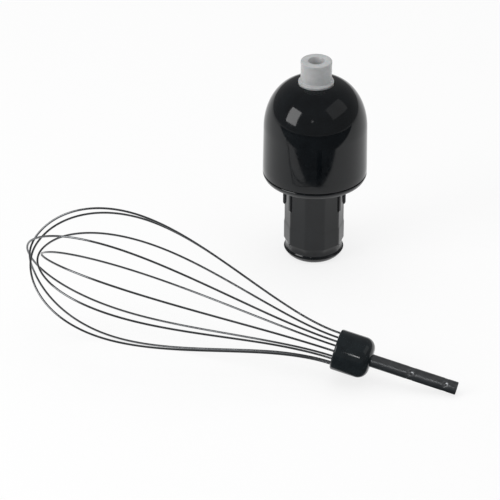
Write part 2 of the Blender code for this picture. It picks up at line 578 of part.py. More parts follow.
def make_input_train(spindle):
    """Coupling, shaft and sun gear, which the blender's motor turns."""
    groove = INPUT_SHAFT_RADIUS - CLIP_GROOVE_DEPTH
    groove_low = INPUT_CLIP_LOW - CLIP_PLAY
    groove_top = INPUT_CLIP_LOW + CLIP_THICKNESS + CLIP_PLAY
    shape = [(0.0, SHAFT_FOOT), (INPUT_SHAFT_RADIUS, SHAFT_FOOT), (INPUT_SHAFT_RADIUS, groove_low),
             (groove, groove_low), (groove, groove_top), (INPUT_SHAFT_RADIUS, groove_top),
             (INPUT_SHAFT_RADIUS, SHAFT_HEAD - EDGE_BREAK), (INPUT_SHAFT_RADIUS - EDGE_BREAK, SHAFT_HEAD),
             (0.0, SHAFT_HEAD)]
    put(turned(shape, SMALL_SEGMENTS, closed=False), "input_shaft", GEAR_STEEL, spindle)
    snap_ring("input_snap_ring", groove, INPUT_CLIP_LOW, spindle)
    pitch_radius = MODULE * SUN_TEETH / 2
    teeth = gear_outline(SUN_TEETH, pitch_radius + MODULE * ADDENDUM, pitch_radius - MODULE * DEDENDUM,
                         BACKLASH, 0.0, FLANK_STEPS)
    bore = regular_outline(SMALL_SEGMENTS, INPUT_SHAFT_RADIUS + RUN_GAP)
    put(prism([teeth, bore], GEAR_LOW, GEAR_TOP), "sun_gear", GEAR_STEEL, spindle)
    web_low = COUPLING_LOW + DRIVE_SOCKET_DEPTH
    bore_low = SHAFT_FOOT - SEAT_GAP
    outside = [(0.0, COUPLING_LOW), (COUPLING_RADIUS - EDGE_BEVEL, COUPLING_LOW),
               (COUPLING_RADIUS, COUPLING_LOW + EDGE_BEVEL), (COUPLING_RADIUS, COUPLING_TOP - EDGE_BEVEL),
               (COUPLING_RADIUS - EDGE_BEVEL, COUPLING_TOP), (INPUT_SHAFT_RADIUS + RUN_GAP, COUPLING_TOP),
               (INPUT_SHAFT_RADIUS + RUN_GAP, bore_low), (0.0, bore_low)]
    coupling = put(turned(outside, PART_SEGMENTS, closed=False), "input_coupling", GEAR_PLASTIC, spindle)
    drive_socket = prism([regular_outline(HEXAGON, DRIVE_SOCKET_CORNER)], COUPLING_LOW - CUT_OVERRUN, web_low)
    combine(coupling, drive_socket, "DIFFERENCE")


def make_output_train(turntable):
    """Planet carrier and the socket that the whisk's shaft plugs into."""
    disc_radius = ORBIT_RADIUS + CARRIER_RIM
    pilot_radius = INPUT_SHAFT_RADIUS + RUN_GAP
    pilot_top = SHAFT_HEAD + SEAT_GAP
    disc = [(0.0, pilot_top), (pilot_radius, pilot_top), (pilot_radius, CARRIER_LOW),
            (disc_radius, CARRIER_LOW), (disc_radius, CARRIER_TOP - EDGE_BEVEL),
            (disc_radius - EDGE_BEVEL, CARRIER_TOP), (0.0, CARRIER_TOP)]
    carrier = put(turned(disc, PART_SEGMENTS, closed=False), "planet_carrier", GEAR_PLASTIC, turntable)
    peg = prism([regular_outline(HEXAGON, PEG_CORNER_RADIUS)], CARRIER_TOP - CUT_OVERRUN, PEG_TOP)
    combine(carrier, peg, "UNION")
    pin_holes = drills(regular_outline(PLANETS, ORBIT_RADIUS), PIN_RADIUS + RUN_GAP, CARRIER_LOW - CUT_OVERRUN,
                       CARRIER_TOP + CUT_OVERRUN, SCREW_SEGMENTS)
    combine(carrier, pin_holes, "DIFFERENCE")
    for number, (x, y) in enumerate(regular_outline(PLANETS, ORBIT_RADIUS), 1):
        head_top = GEAR_LOW - THRUST_GAP
        pin_top = CARRIER_TOP - EDGE_BREAK
        pin = [(0.0, head_top - PIN_HEAD), (PIN_HEAD_RADIUS, head_top - PIN_HEAD), (PIN_HEAD_RADIUS, head_top),
               (PIN_RADIUS, head_top), (PIN_RADIUS, pin_top), (0.0, pin_top)]
        made = put(turned(pin, SCREW_SEGMENTS, closed=False), f"planet_pin_{number}", GEAR_STEEL, turntable)
        made.location = (x, y, 0)

    groove = JOURNAL_RADIUS - CLIP_GROOVE_DEPTH
    groove_low = OUTPUT_CLIP_LOW - CLIP_PLAY
    groove_top = OUTPUT_CLIP_LOW + CLIP_THICKNESS + CLIP_PLAY
    bore = LINER_RADIUS + RUN_GAP
    rim_low = SOCKET_TOP - SOCKET_RIM
    profile = [(bore, SOCKET_BOTTOM), (JOURNAL_RADIUS, SOCKET_BOTTOM), (JOURNAL_RADIUS, groove_low),
               (groove, groove_low), (groove, groove_top), (JOURNAL_RADIUS, groove_top),
               (JOURNAL_RADIUS, FLANGE_LOW), (SOCKET_FLANGE_RADIUS, FLANGE_LOW),
               (SOCKET_FLANGE_RADIUS, FLANGE_TOP - EDGE_BREAK),
               (SOCKET_FLANGE_RADIUS - EDGE_BREAK, FLANGE_TOP)]
    profile += arc(SOCKET_FOOT_RADIUS + SOCKET_FOOT_FILLET, FLANGE_TOP + SOCKET_FOOT_FILLET,
                   SOCKET_FOOT_FILLET, 270, 180, FILLET_STEPS)
    profile += [(SOCKET_RADIUS, rim_low - SOCKET_FLARE), (SOCKET_RIM_RADIUS, rim_low)]
    profile += arc(SOCKET_RIM_RADIUS - SOCKET_RIM_BEVEL, SOCKET_TOP - SOCKET_RIM_BEVEL, SOCKET_RIM_BEVEL,
                   0, 90, FILLET_STEPS)
    profile += [(KEYWAY_RADIUS + EDGE_BREAK, SOCKET_TOP), (KEYWAY_RADIUS, SOCKET_TOP - EDGE_BREAK),
                (KEYWAY_RADIUS, SOCKET_TOP - SOCKET_LIP), (bore, SOCKET_TOP - SOCKET_LIP)]
    socket = put(turned(profile, PART_SEGMENTS), "output_socket", GREY_SOCKET, turntable)
    recess = prism([regular_outline(HEXAGON, PEG_CORNER_RADIUS + RUN_GAP)], SOCKET_BOTTOM - CUT_OVERRUN,
                   PEG_TOP + SEAT_GAP)
    combine(socket, recess, "DIFFERENCE")
    snap_ring("output_snap_ring", groove, OUTPUT_CLIP_LOW, turntable)
    make_liner(turntable)


def make_liner(turntable):
    """Sleeve in the socket, with a keyway for each ear of the shaft's crimps."""
    half_width = KEYWAY_WIDTH / 2
    inner = []
    half_slot = math.asin(half_width / LINER_BORE_RADIUS)
    for key in range(KEYWAYS):
        middle = 2 * math.pi * key / KEYWAYS
        turn = Matrix.Rotation(middle, 2)
        inner += [tuple(turn @ Vector((KEYWAY_RADIUS, side))) for side in (-half_width, half_width)]
        first, last = half_slot, 2 * math.pi / KEYWAYS - half_slot
        for i in range(LINER_STEPS + 1):
            angle = middle + first + (last - first) * i / LINER_STEPS
            inner.append((LINER_BORE_RADIUS * math.cos(angle), LINER_BORE_RADIUS * math.sin(angle)))
    outer = regular_outline(SMALL_SEGMENTS, LINER_RADIUS)
    low = PEG_TOP + 2 * SEAT_GAP
    high = SOCKET_TOP - SOCKET_LIP - SEAT_GAP
    return put(prism([outer, inner], low, high), "socket_liner", WHITE_LINER, turntable)


def make_planets(turntable):
    """Three planet gears, each turned so that a tooth space faces the sun gear's tooth."""
    pitch_radius = MODULE * PLANET_TEETH / 2
    bore = regular_outline(SCREW_SEGMENTS, PIN_RADIUS + RUN_GAP)
    for number in range(PLANETS):
        place = 2 * math.pi * number / PLANETS
        turn = place + math.pi - math.pi / PLANET_TEETH
        teeth = gear_outline(PLANET_TEETH, pitch_radius + MODULE * ADDENDUM, pitch_radius - MODULE * DEDENDUM,
                             BACKLASH, turn, FLANK_STEPS)
        body = prism([teeth, bore], GEAR_LOW, GEAR_TOP)
        gear = put(body, f"planet_gear_{number + 1}", GEAR_PLASTIC, turntable)
        gear.location = (ORBIT_RADIUS * math.cos(place), ORBIT_RADIUS * math.sin(place), 0)


def bezier(start, first, second, end, steps):
    points = []
    for i in range(steps + 1):
        t = i / steps
        weights = ((1 - t) ** 3, 3 * (1 - t) ** 2 * t, 3 * (1 - t) * t ** 2, t ** 3)
        shares = [weight * Vector(point) for weight, point in zip(weights, (start, first, second, end))]
        points.append(sum(shares, Vector((0, 0))))
    return points


def half_loop(reach, width):
    """From inside the collar to the tip, as (radius, distance beyond the collar)."""
    belly = BELLY * reach
    radius = BALLOON_RADIUS * width
    start = (WIRE_CIRCLE_RADIUS, 0.0)
    out = bezier(start, (WIRE_CIRCLE_RADIUS, FLARE_HANDLE), (radius, belly - BELLY_HANDLES[0]),
                 (radius, belly), WIRE_STEPS[0])
    back = bezier((radius, belly), (radius, belly + BELLY_HANDLES[1]), (TIP_HANDLE, reach), (0.0, reach),
                  WIRE_STEPS[1])
    return [Vector((WIRE_CIRCLE_RADIUS, -WIRE_GRIP))] + out + back[1:]


def loop_path(loop):
    """A loop's whole centre line, its halves turned apart but in line with each other at the tip."""
    reach_share, upper_turn, lower_turn, upper_width, lower_width = loop
    middle = (upper_turn + lower_turn) / 2
    path = []
    for sign, turn, width in ((1, upper_turn, upper_width), (-1, lower_turn, lower_width)):
        half = []
        for radius, along in half_loop(BALLOON_REACH * reach_share, width):
            share = min(1.0, radius / TIP_TURN_RADIUS)
            angle = math.radians(middle + (turn - middle) * share * share * (3 - 2 * share))
            half.append(Vector((sign * radius * math.cos(angle), sign * radius * math.sin(angle), along)))
        path = half if sign == 1 else path + half[-2::-1]
    return path


def whisk_turn(tilt):
    """Turns the whisk's own frame, with X level, Y up and Z to the tip, into the room's."""
    tip = Vector((math.cos(WHISK_HEADING) * math.cos(tilt), math.sin(WHISK_HEADING) * math.cos(tilt),
                  math.sin(tilt)))
    level = tip.cross(Vector((0, 0, 1))).normalized() * -1
    up = tip.cross(level).normalized()
    return Matrix((level, up, tip)).transposed()


def rest_on_floor():
    """Tilt and height at which both the shaft's end and the lowest wire touch the floor."""
    paths = [loop_path(loop) for loop in LOOPS]
    low, high = 0.0, STEEPEST_TILT
    for _ in range(TILT_HALVINGS):
        tilt = (low + high) / 2
        turn = whisk_turn(tilt)
        shaft_low = -(COLLAR_LENGTH + SHAFT_VISIBLE) * math.sin(tilt) - SHAFT_RADIUS * math.cos(tilt)
        wire_low = min((turn @ point).z for path in paths for point in path) - WIRE_RADIUS
        if wire_low < shaft_low:
            low = tilt
        else:
            high = tilt
    return tilt, -min(shaft_low, wire_low)


def make_wires(whisk):
    for number, loop in enumerate(LOOPS, 1):
        curve = bpy.data.curves.new(f"wire_loop_{number}", "CURVE")
        curve.dimensions = "3D"
        curve.bevel_depth = WIRE_RADIUS
        curve.bevel_resolution = WIRE_ROUNDING
        curve.use_fill_caps = True
        path = loop_path(loop)
        spline = curve.splines.new("POLY")
        spline.points.add(len(path) - 1)
        for point, place in zip(spline.points, path):
            point.co = (*place, 1.0)
        curve.materials.append(WIRE_STEEL)
        wire = bpy.data.objects.new(f"wire_loop_{number}", curve)
        bpy.context.scene.collection.objects.link(wire)
        wire.parent = whisk


def make_collar(whisk):
    """Moulded collar with a socket for the shaft and ten for the wire ends."""
    shaft_hole = SHAFT_RADIUS + RUN_GAP
    hole_end = -(COLLAR_LENGTH - SHAFT_GRIP - SEAT_GAP)
    profile = [(0.0, 0.0), (COLLAR_RADIUS - COLLAR_WIRE_ROUND, 0.0)]
    profile += arc(COLLAR_RADIUS - COLLAR_WIRE_ROUND, -COLLAR_WIRE_ROUND, COLLAR_WIRE_ROUND, 60, 0,
                   COLLAR_ROUND_STEPS[0])
    profile += arc(COLLAR_RADIUS - COLLAR_SHAFT_ROUND, -COLLAR_LENGTH + COLLAR_SHAFT_ROUND,
                   COLLAR_SHAFT_ROUND, 0, -90, COLLAR_ROUND_STEPS[1])
    profile += [(shaft_hole, -COLLAR_LENGTH), (shaft_hole, hole_end), (0.0, hole_end)]
    collar = put(turned(profile[::-1], PART_SEGMENTS, closed=False), "whisk_collar", BLACK_GLOSS, whisk)
    places = []
    for loop in LOOPS:
        path = loop_path(loop)
        places += [(end.x, end.y) for end in (path[0], path[-1])]
    combine(collar, drills(places, WIRE_RADIUS + SEAT_GAP, -WIRE_GRIP - SEAT_GAP, CUT_OVERRUN,
                           WIRE_HOLE_SEGMENTS), "DIFFERENCE")


def make_drive_shaft(whisk):
    """Steel rod with two four-sided crimps, whose ears key it in the socket."""
    top = -(COLLAR_LENGTH - SHAFT_GRIP)
    end = -(COLLAR_LENGTH + SHAFT_VISIBLE)
    stations = [top, end + SHAFT_CHAMFER, end]
    outer_share, waist_share = CRIMP_SHARES
    for place, length in CRIMPS:
        middle = -COLLAR_LENGTH - place
        shares = (outer_share, waist_share, -waist_share, -outer_share)
        stations += [middle + length * share for share in shares]
    rings = []
    for z in sorted(stations, reverse=True):
        ring = []
        for i in range(SHAFT_SEGMENTS):
            angle = 2 * math.pi * i / SHAFT_SEGMENTS
            radius = SHAFT_RADIUS - SHAFT_CHAMFER if z == end else SHAFT_RADIUS
            for place, length in CRIMPS:
                share = abs(z + COLLAR_LENGTH + place) / (length * outer_share)
                if share < 1:
                    press = math.cos(share * math.pi / 2) ** 2
                    wave = math.cos(CRIMP_EARS * angle)
                    radius += press * (CRIMP_EAR * max(wave, 0) - CRIMP_DEPTH * max(-wave, 0))
            ring.append((radius * math.cos(angle), radius * math.sin(angle), z))
        rings.append(ring)
    return put(lofted(rings, closed=False), "drive_shaft", SHAFT_STEEL, whisk)


def empty(name, parent=None):
    made = bpy.data.objects.new(name, None)
    bpy.context.scene.collection.objects.link(made)
    made.parent = parent
    return made


def centre_on_origin(layout):
    """Moves the set so that the origin lies on the floor under the middle of its box."""
    bpy.context.view_layer.update()
    graph = bpy.context.evaluated_depsgraph_get()
    corners = []
    for item in bpy.context.scene.objects:
        if item.type in {"MESH", "CURVE"}:
            shape = item.evaluated_get(graph)
            data = shape.to_mesh()
            corners += [item.matrix_world @ vert.co for vert in data.vertices]
            shape.to_mesh_clear()
    low = [min(point[i] for point in corners) for i in range(3)]
    high = [max(point[i] for point in corners) for i in range(3)]
    layout.location = (-(low[0] + high[0]) / 2, -(low[1] + high[1]) / 2, -low[2])
    bpy.context.view_layer.update()


layout = empty("layout")
adapter = empty("adapter", layout)
adapter.location = (*ADAPTER_PLACE, 0.0)
input_spindle = empty("input_spindle", adapter)
output_turntable = empty("output_turntable", adapter)
whisk = empty("whisk", layout)
tilt, height = rest_on_floor()
whisk.matrix_local = Matrix.Translation((0, 0, height)) @ whisk_turn(tilt).to_4x4()

make_neck_moulding(adapter)
make_dome(adapter)
make_ring_gear(adapter)
make_bearing_plate(adapter)
make_bushes_and_seal(adapter)
make_input_train(input_spindle)
make_output_train(output_turntable)
make_planets(output_turntable)
make_wires(whisk)
make_collar(whisk)
make_drive_shaft(whisk)
centre_on_origin(layout)
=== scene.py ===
"""Looks of the whisk attachment: the balloon whisk and the domed gear adapter behind it."""
import json
import math

import bmesh
import bpy
from mathutils import Matrix, Vector


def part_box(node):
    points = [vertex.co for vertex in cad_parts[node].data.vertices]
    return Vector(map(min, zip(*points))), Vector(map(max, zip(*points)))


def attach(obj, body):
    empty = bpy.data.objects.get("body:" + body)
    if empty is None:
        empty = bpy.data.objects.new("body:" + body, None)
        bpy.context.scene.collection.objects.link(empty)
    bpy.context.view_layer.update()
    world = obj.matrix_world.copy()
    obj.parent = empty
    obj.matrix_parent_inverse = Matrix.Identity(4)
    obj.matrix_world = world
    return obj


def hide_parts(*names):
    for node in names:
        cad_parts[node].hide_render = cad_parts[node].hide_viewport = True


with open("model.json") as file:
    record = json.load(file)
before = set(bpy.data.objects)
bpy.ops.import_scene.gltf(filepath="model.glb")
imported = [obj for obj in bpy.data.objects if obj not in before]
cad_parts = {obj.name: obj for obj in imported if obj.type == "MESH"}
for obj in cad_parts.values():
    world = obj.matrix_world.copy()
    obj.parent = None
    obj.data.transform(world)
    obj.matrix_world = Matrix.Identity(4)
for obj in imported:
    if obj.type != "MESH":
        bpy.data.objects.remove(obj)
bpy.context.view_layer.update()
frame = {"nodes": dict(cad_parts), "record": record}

MM = 0.001                   # sizes below are in mm, and times this in metres

# The adapter's axis and the whisk's axis, read from the frame so that every piece lies on them
dome_low, dome_high = (Vector(corner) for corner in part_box("dome_housing"))
ADAPTER = Vector(((dome_low.x + dome_high.x) / 2, (dome_low.y + dome_high.y) / 2, 0))
shaft_end = next(mount for mount in frame["record"]["mounts"] if mount["name"] == "shaft_end")
SHAFT_REACH = 59.0           # mm from the collar's wire face to the end of the shaft
tip_way = -Vector(shaft_end["axis"]).normalized()
level_way = (Vector((0, 0, 1)).cross(tip_way)).normalized()
up_way = tip_way.cross(level_way)
wire_face = Vector(shaft_end["pos_m"]) + tip_way * SHAFT_REACH * MM
WHISK = Matrix.Translation(wire_face) @ Matrix((level_way, up_way, tip_way)).transposed().to_4x4()
ON_ADAPTER = Matrix.Translation(ADAPTER)


# Shapes

def arc(centre, radius, start, end, steps):
    """Points of an arc in a profile, with its angles in degrees."""
    points = []
    for i in range(steps + 1):
        angle = math.radians(start + (end - start) * i / steps)
        points.append((centre[0] + radius * math.cos(angle), centre[1] + radius * math.sin(angle)))
    return points


def finish_mesh(mesh, name, paint, place, angle=35):
    """Merges, turns faces outwards, puts the mesh in its place and makes an object of it."""
    bmesh.ops.remove_doubles(mesh, verts=mesh.verts, dist=0.0002)
    bmesh.ops.recalc_face_normals(mesh, faces=mesh.faces)
    bmesh.ops.transform(mesh, matrix=place @ Matrix.Scale(MM, 4), verts=mesh.verts)
    data = bpy.data.meshes.new(name)
    mesh.to_mesh(data)
    mesh.free()
    data.shade_smooth()
    data.set_sharp_from_angle(angle=math.radians(angle))
    data.materials.append(paint)
    made = bpy.data.objects.new(name, data)
    bpy.context.scene.collection.objects.link(made)
    return made


def turned(name, profile, paint, place, segments=144, closed=True, angle=35):
    """Revolves a profile of (radius, height) in mm."""
    mesh = bmesh.new()
    verts = [mesh.verts.new((r, 0, z)) for r, z in profile]
    pairs = zip(verts, verts[1:] + verts[:1] if closed else verts[1:])
    edges = [mesh.edges.new(pair) for pair in pairs]
    bmesh.ops.spin(mesh, geom=verts + edges, cent=(0, 0, 0), axis=(0, 0, 1), angle=math.tau,
                   steps=segments, use_merge=True)
    return finish_mesh(mesh, name, paint, place, angle)


def lofted(name, rings, paint, place, closed=True, angle=35):
    """Skins rings of equal count, given in mm."""
    mesh = bmesh.new()
    rows = [[mesh.verts.new(point) for point in ring] for ring in rings]
    count = len(rows[0])
    for low, high in zip(rows, rows[1:] + rows[:1] if closed else rows[1:]):
        for i in range(count):
            j = (i + 1) % count
            mesh.faces.new((low[i], low[j], high[j], high[i]))
    if not closed:
        mesh.faces.new(rows[0])
        mesh.faces.new(rows[-1])
    return finish_mesh(mesh, name, paint, place, angle)


# Materials. Draw lines, grinding marks and the grain of moulded skins are finer than the render can show,
# and are drawn as coarse as they need to be seen there.

NOISE_LOW, NOISE_HIGH = 0.3, 0.7    # nearly all values of a noise lie between these


def linear(code):
    """Turns an sRGB hex colour to linear light."""
    values = [int(code[i:i + 2], 16) / 255 for i in (1, 3, 5)]
    return (*[v / 12.92 if v <= 0.04045 else ((v + 0.055) / 1.055) ** 2.4 for v in values], 1.0)


def add(tree, kind, inputs=None, **settings):
    """Adds a node with its settings. Each input gets a value, or the output that feeds it."""
    made = tree.nodes.new(kind)
    for name, value in settings.items():
        setattr(made, name, value)
    for key, value in (inputs or {}).items():
        if isinstance(value, bpy.types.NodeSocket):
            tree.links.new(value, made.inputs[key])
        else:
            made.inputs[key].default_value = value
    return made


def finish(name, dark, light, patch, gloss, grain, relief, depth, lie=Matrix.Identity(4), **sockets):
    """A finish of two close colours in soft patches, with an uneven gloss and a fine relief.

    Patch, grain and relief are how large their features are in mm along the axes of lie, the place that
    the piece lies in. Depth is the depth of the relief in mm.
    """
    made = bpy.data.materials.new(name)
    made.use_nodes = True
    tree = made.node_tree
    shader = tree.nodes["Principled BSDF"]
    spot = add(tree, "ShaderNodeTexCoord").outputs["Object"]
    patterns = []
    for size, detail in ((patch, 2.0), (grain, 4.0), (relief, 2.0)):
        own = add(tree, "ShaderNodeMapping", {"Vector": spot, "Location": lie.translation,
                                              "Rotation": lie.to_euler(), "Scale": Vector(size) * MM},
                  vector_type="TEXTURE")
        patterns.append(add(tree, "ShaderNodeTexNoise", {"Vector": own.outputs["Vector"], "Scale": 1.0,
                                                         "Detail": detail}).outputs["Fac"])
    spread = {"From Min": NOISE_LOW, "From Max": NOISE_HIGH}
    share = add(tree, "ShaderNodeMapRange", {"Value": patterns[0], **spread})
    tint = add(tree, "ShaderNodeMix", {0: share.outputs["Result"], 6: linear(dark), 7: linear(light)},
               data_type="RGBA")
    sheen = add(tree, "ShaderNodeMapRange", {"Value": patterns[1], "To Min": gloss[0], "To Max": gloss[1],
                                             **spread})
    bump = add(tree, "ShaderNodeBump", {"Height": patterns[2], "Distance": depth * MM, "Strength": 1.0})
    tree.links.new(tint.outputs[2], shader.inputs["Base Color"])
    tree.links.new(sheen.outputs["Result"], shader.inputs["Roughness"])
    tree.links.new(bump.outputs["Normal"], shader.inputs["Normal"])
    for key, value in sockets.items():
        shader.inputs[key.replace("_", " ")].default_value = value
    return made


# Injection-moulded ABS from a mirror-polished tool: deep black, with clear reflections that waver a little
# where the wall sank, and a bloom of fine wiping marks in the gloss
gloss_abs = finish("gloss black moulded ABS", "#080b0e", "#0e1215", (6, 6, 6), (0.05, 0.12),
                   (1.8, 1.8, 1.8), (9, 9, 9), 0.03, IOR=1.42)

# The same ABS off a less polished part of the tool: the neck is a little duller, with faint flow marks
# that run down the wall
neck_abs = finish("black moulded ABS neck", "#080b0e", "#0f1317", (4, 4, 12), (0.09, 0.18), (1.2, 1.2, 4),
                  (2.5, 2.5, 10), 0.006, IOR=1.45)

# Polypropylene of the collar: a shade lighter than the housing, with a soft skin over its gloss
collar_pp = finish("black moulded polypropylene", "#14191c", "#1b2124", (4, 4, 4), (0.06, 0.12), (1, 1, 1),
                   (5, 5, 5), 0.02, WHISK, IOR=1.45)

# Grey acetal: waxy and slightly cloudy, with a soft sheen from a fine spark-eroded tool
grey_acetal = finish("grey moulded acetal", "#b2b4b5", "#bebfc0", (3, 3, 3), (0.18, 0.30),
                     (0.7, 0.7, 0.7), (0.45, 0.45, 0.45), 0.006,
                     Subsurface_Weight=0.1, Subsurface_Scale=0.001)

# Natural acetal of the sleeve in the socket: milky, nearly white
natural_acetal = finish("natural acetal sleeve", "#dcdcd8", "#ececea", (2, 2, 2), (0.28, 0.42),
                        (0.8, 0.8, 0.8), (0.6, 0.6, 0.6), 0.004,
                        Subsurface_Weight=0.2, Subsurface_Scale=0.002)

# Drawn stainless wire: polished, with faint draw lines along the whisk that only soften the highlight. Its
# colour is steel grey darkened far below bright steel's, painted shade that keeps its reflections dark.
wire_steel_with_painted_shade = finish("drawn stainless wire with painted shade", "#6c6e70", "#828486", (5, 5, 20), (0.10, 0.22), (0.4, 0.4, 8),
                    (0.2, 0.2, 5), 0.001, WHISK, Metallic=1.0)

# Ground and tumbled steel rod of the drive shaft: duller than the wires, with a slow waver from the
# grinding that leaves a thin highlight whole.
# Its colour is steel grey darkened as far as the wires', painted shade that keeps its reflections dark.
rod_steel_with_painted_shade = finish("ground steel rod with painted shade", "#6c6e70", "#7e8082", (2.5, 2.5, 4), (0.28, 0.34), (3, 3, 6),
                   (3, 3, 4), 0.001, WHISK, Metallic=1.0)

# What turns inside: moulded gears, a glass-filled ring gear and plate, oil-soaked bronze, rubber and steel
gear_acetal = finish("moulded gear acetal", "#d2d0c4", "#e2e0d6", (3, 3, 3), (0.32, 0.46), (0.8, 0.8, 0.8),
                     (0.8, 0.8, 0.8), 0.004)
ring_nylon = finish("glass-filled black nylon", "#1c1d1f", "#292a2c", (2, 2, 2), (0.42, 0.62),
                    (0.5, 0.5, 0.5), (0.5, 0.5, 0.5), 0.01)
bush_bronze = finish("sintered bronze", "#8d6a3c", "#a98450", (1.2, 1.2, 1.2), (0.35, 0.55),
                     (0.3, 0.3, 0.3), (0.3, 0.3, 0.3), 0.01, Metallic=1.0)
seal_rubber = finish("nitrile rubber", "#131314", "#1c1c1d", (2.4, 2.4, 2.4), (0.6, 0.8), (0.6, 0.6, 0.6),
                     (0.6, 0.6, 0.6), 0.004)
ground_steel = finish("ground gear steel", "#8b8d90", "#a2a4a6", (1.6, 1.6, 1.6), (0.2, 0.36),
                      (0.4, 0.4, 0.4), (0.4, 0.4, 0.4), 0.004, Metallic=1.0)
zinc_plate = finish("bright zinc plate", "#b0b2b0", "#cdcfcc", (2, 2, 2), (0.2, 0.34), (0.5, 0.5, 0.5),
                    (0.5, 0.5, 0.5), 0.004, Metallic=1.0)


# Dome. Heights are above the foot of the neck, and radii are from the adapter's axis.

SEAM = 46.8
SEAM_RADIUS = 25.95
SEAM_EDGE = 0.4
WALL_LEAN = 0.35             # how far the wall leans in from the seam to the shoulder
SHOULDER = 70.6
CROWN_FLAT = 8.0             # the crown is a quarter of an ellipse that starts this far from the axis
CROWN_WIDE = 17.6
CROWN_TALL = 24.7
MOUTH = 9.1
MOUTH_EDGE = 0.35
MOUTH_TOP = SHOULDER + CROWN_TALL * math.sqrt(1 - ((MOUTH - CROWN_FLAT) / CROWN_WIDE) ** 2)
DOME_WALL = 2.2
BUSH_SEAT = 11.5             # the boss under the mouth, which holds the upper bush
BUSH_SEAT_TOP = 91.25
BOSS_RADIUS = 13.5
BOSS_FOOT = 86.35


def crown_arc(inset, start, end, steps):
    """Points of the crown's ellipse, or of the one inside its wall, between two angles in radians."""
    points = []
    for i in range(steps + 1):
        angle = start + (end - start) * i / steps
        points.append((CROWN_FLAT + (CROWN_WIDE - inset) * math.cos(angle),
                       SHOULDER + (CROWN_TALL - inset) * math.sin(angle)))
    return points


def dome_profile():
    """Outside from the seam up to the mouth, then the bush's boss and the inside back down."""
    low = SEAM + SEAM_EDGE
    skirt = [(SEAM_RADIUS - DOME_WALL, SEAM), *arc((SEAM_RADIUS - SEAM_EDGE, low), SEAM_EDGE, -90, 0, 4)]
    wall = [(SEAM_RADIUS - WALL_LEAN * i / 6, low + (SHOULDER - low) * i / 6) for i in range(1, 6)]
    crown = crown_arc(0, 0, math.asin((MOUTH_TOP - SHOULDER) / CROWN_TALL), 48)
    crown[-1] = (MOUTH + MOUTH_EDGE * 1.4, crown[-1][1] - 0.02)
    mouth = [(MOUTH + 0.2, MOUTH_TOP - 0.05), (MOUTH, MOUTH_TOP - MOUTH_EDGE), (MOUTH, BUSH_SEAT_TOP),
             (BUSH_SEAT, BUSH_SEAT_TOP), (BUSH_SEAT, BOSS_FOOT), (BOSS_RADIUS, BOSS_FOOT)]
    boss_meets_wall = math.acos((BOSS_RADIUS - CROWN_FLAT) / (CROWN_WIDE - DOME_WALL))
    return skirt + wall + crown + mouth + crown_arc(DOME_WALL, boss_meets_wall, 0, 20)


dome = turned("dome_shell", dome_profile(), gloss_abs, ON_ADAPTER, 192, angle=28)
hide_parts("dome_housing")
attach(dome, "housing")


# Neck moulding. Its profiles are (radius, height), and the radius of a ten-sided ring is to its corners.

FACETS = 10
CORNER_EASE = 0.049          # how far each corner is cut back
POINTS_PER_FACET = 12
CROWDING = 0.7               # below 1, the points of a facet crowd towards its corners
BASE_TOP = 46.5
BASE_UNDER = 43.6
NECK_UPPER = 14.95
NECK_FILLET = 4.0            # under the base ring, where the facets run out
FILLET_STEPS = 8
FOOT_AND_LIP = [(11.2, 0.0), (12.45, 0.0), (12.75, 0.15), (13.9, 1.2), (14.75, 2.4), (15.05, 3.0),
                (15.0, 3.15), (14.4, 3.6)]
# The groove over the lip, where the neck turns from round to ten-sided. The third value is its roundness.
GROOVE = [(14.15, 4.1, 0.9), (14.1, 5.2, 0.75), (14.3, 6.1, 0.4), (15.0, 7.75, 0.08)]
SIDES_AND_STEP = [(15.2, 8.15), (15.2, 8.4), (15.2, 16.9), (15.16, 17.2), (15.0, 18.3), (NECK_UPPER, 18.6)]
BASE_RING = [(24.6, BASE_UNDER), (24.9, 43.68), (25.1, 43.9), (25.75, 45.2), (25.88, 45.6), (25.9, 45.9),
             (25.85, 46.15), (25.7, 46.38), (25.4, BASE_TOP)]
REGISTER_RING = [(23.45, BASE_TOP), (23.45, 50.0), (21.85, 50.0), (21.85, 46.0)]
BUSH_HOLE = [(6.6, 46.0), (6.2, BASE_TOP), (4.65, BASE_TOP), (4.65, 37.0)]
BORE_ROOF = [(7.2, 37.0), (7.5, 37.3), (7.5, 42.5), (10.2, 42.5), (11.0, 42.2), (11.2, 41.5)]


def neck_ring(radius, height, roundness):
    """One ring between the ten-sided outline, with its corners a little eased, and a circle."""
    half = math.pi / FACETS
    ring = []
    for facet in range(FACETS):
        for k in range(POINTS_PER_FACET):
            share = (k + 0.5) / POINTS_PER_FACET
            swing = math.copysign(abs(2 * share - 1) ** CROWDING, 2 * share - 1) * half
            flat = min(radius * math.cos(half) / math.cos(swing), radius - CORNER_EASE)
            reach = flat * (1 - roundness) + radius * roundness
            angle = 2 * half * facet + half + swing
            ring.append((reach * math.cos(angle), reach * math.sin(angle), height))
    return ring


def neck_rings():
    """Rings from the foot up the outside, over the base ring and down through the hole to the bore."""
    rings = [neck_ring(r, z, 1) for r, z in FOOT_AND_LIP]
    rings += [neck_ring(*row) for row in GROOVE]
    rings += [neck_ring(r, z, 0) for r, z in SIDES_AND_STEP]
    for i in range(FILLET_STEPS + 1):
        angle = math.pi / 2 * i / FILLET_STEPS
        rings.append(neck_ring(NECK_UPPER + NECK_FILLET * (1 - math.cos(angle)),
                               BASE_UNDER - NECK_FILLET * (1 - math.sin(angle)), i / FILLET_STEPS))
    rings += [neck_ring(r, z, 1) for r, z in BASE_RING + REGISTER_RING + BUSH_HOLE + BORE_ROOF]
    return rings


neck = lofted("neck_body", neck_rings(), neck_abs, ON_ADAPTER, angle=20)
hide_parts("neck_moulding")
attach(neck, "housing")


# Things made by Geometry Nodes

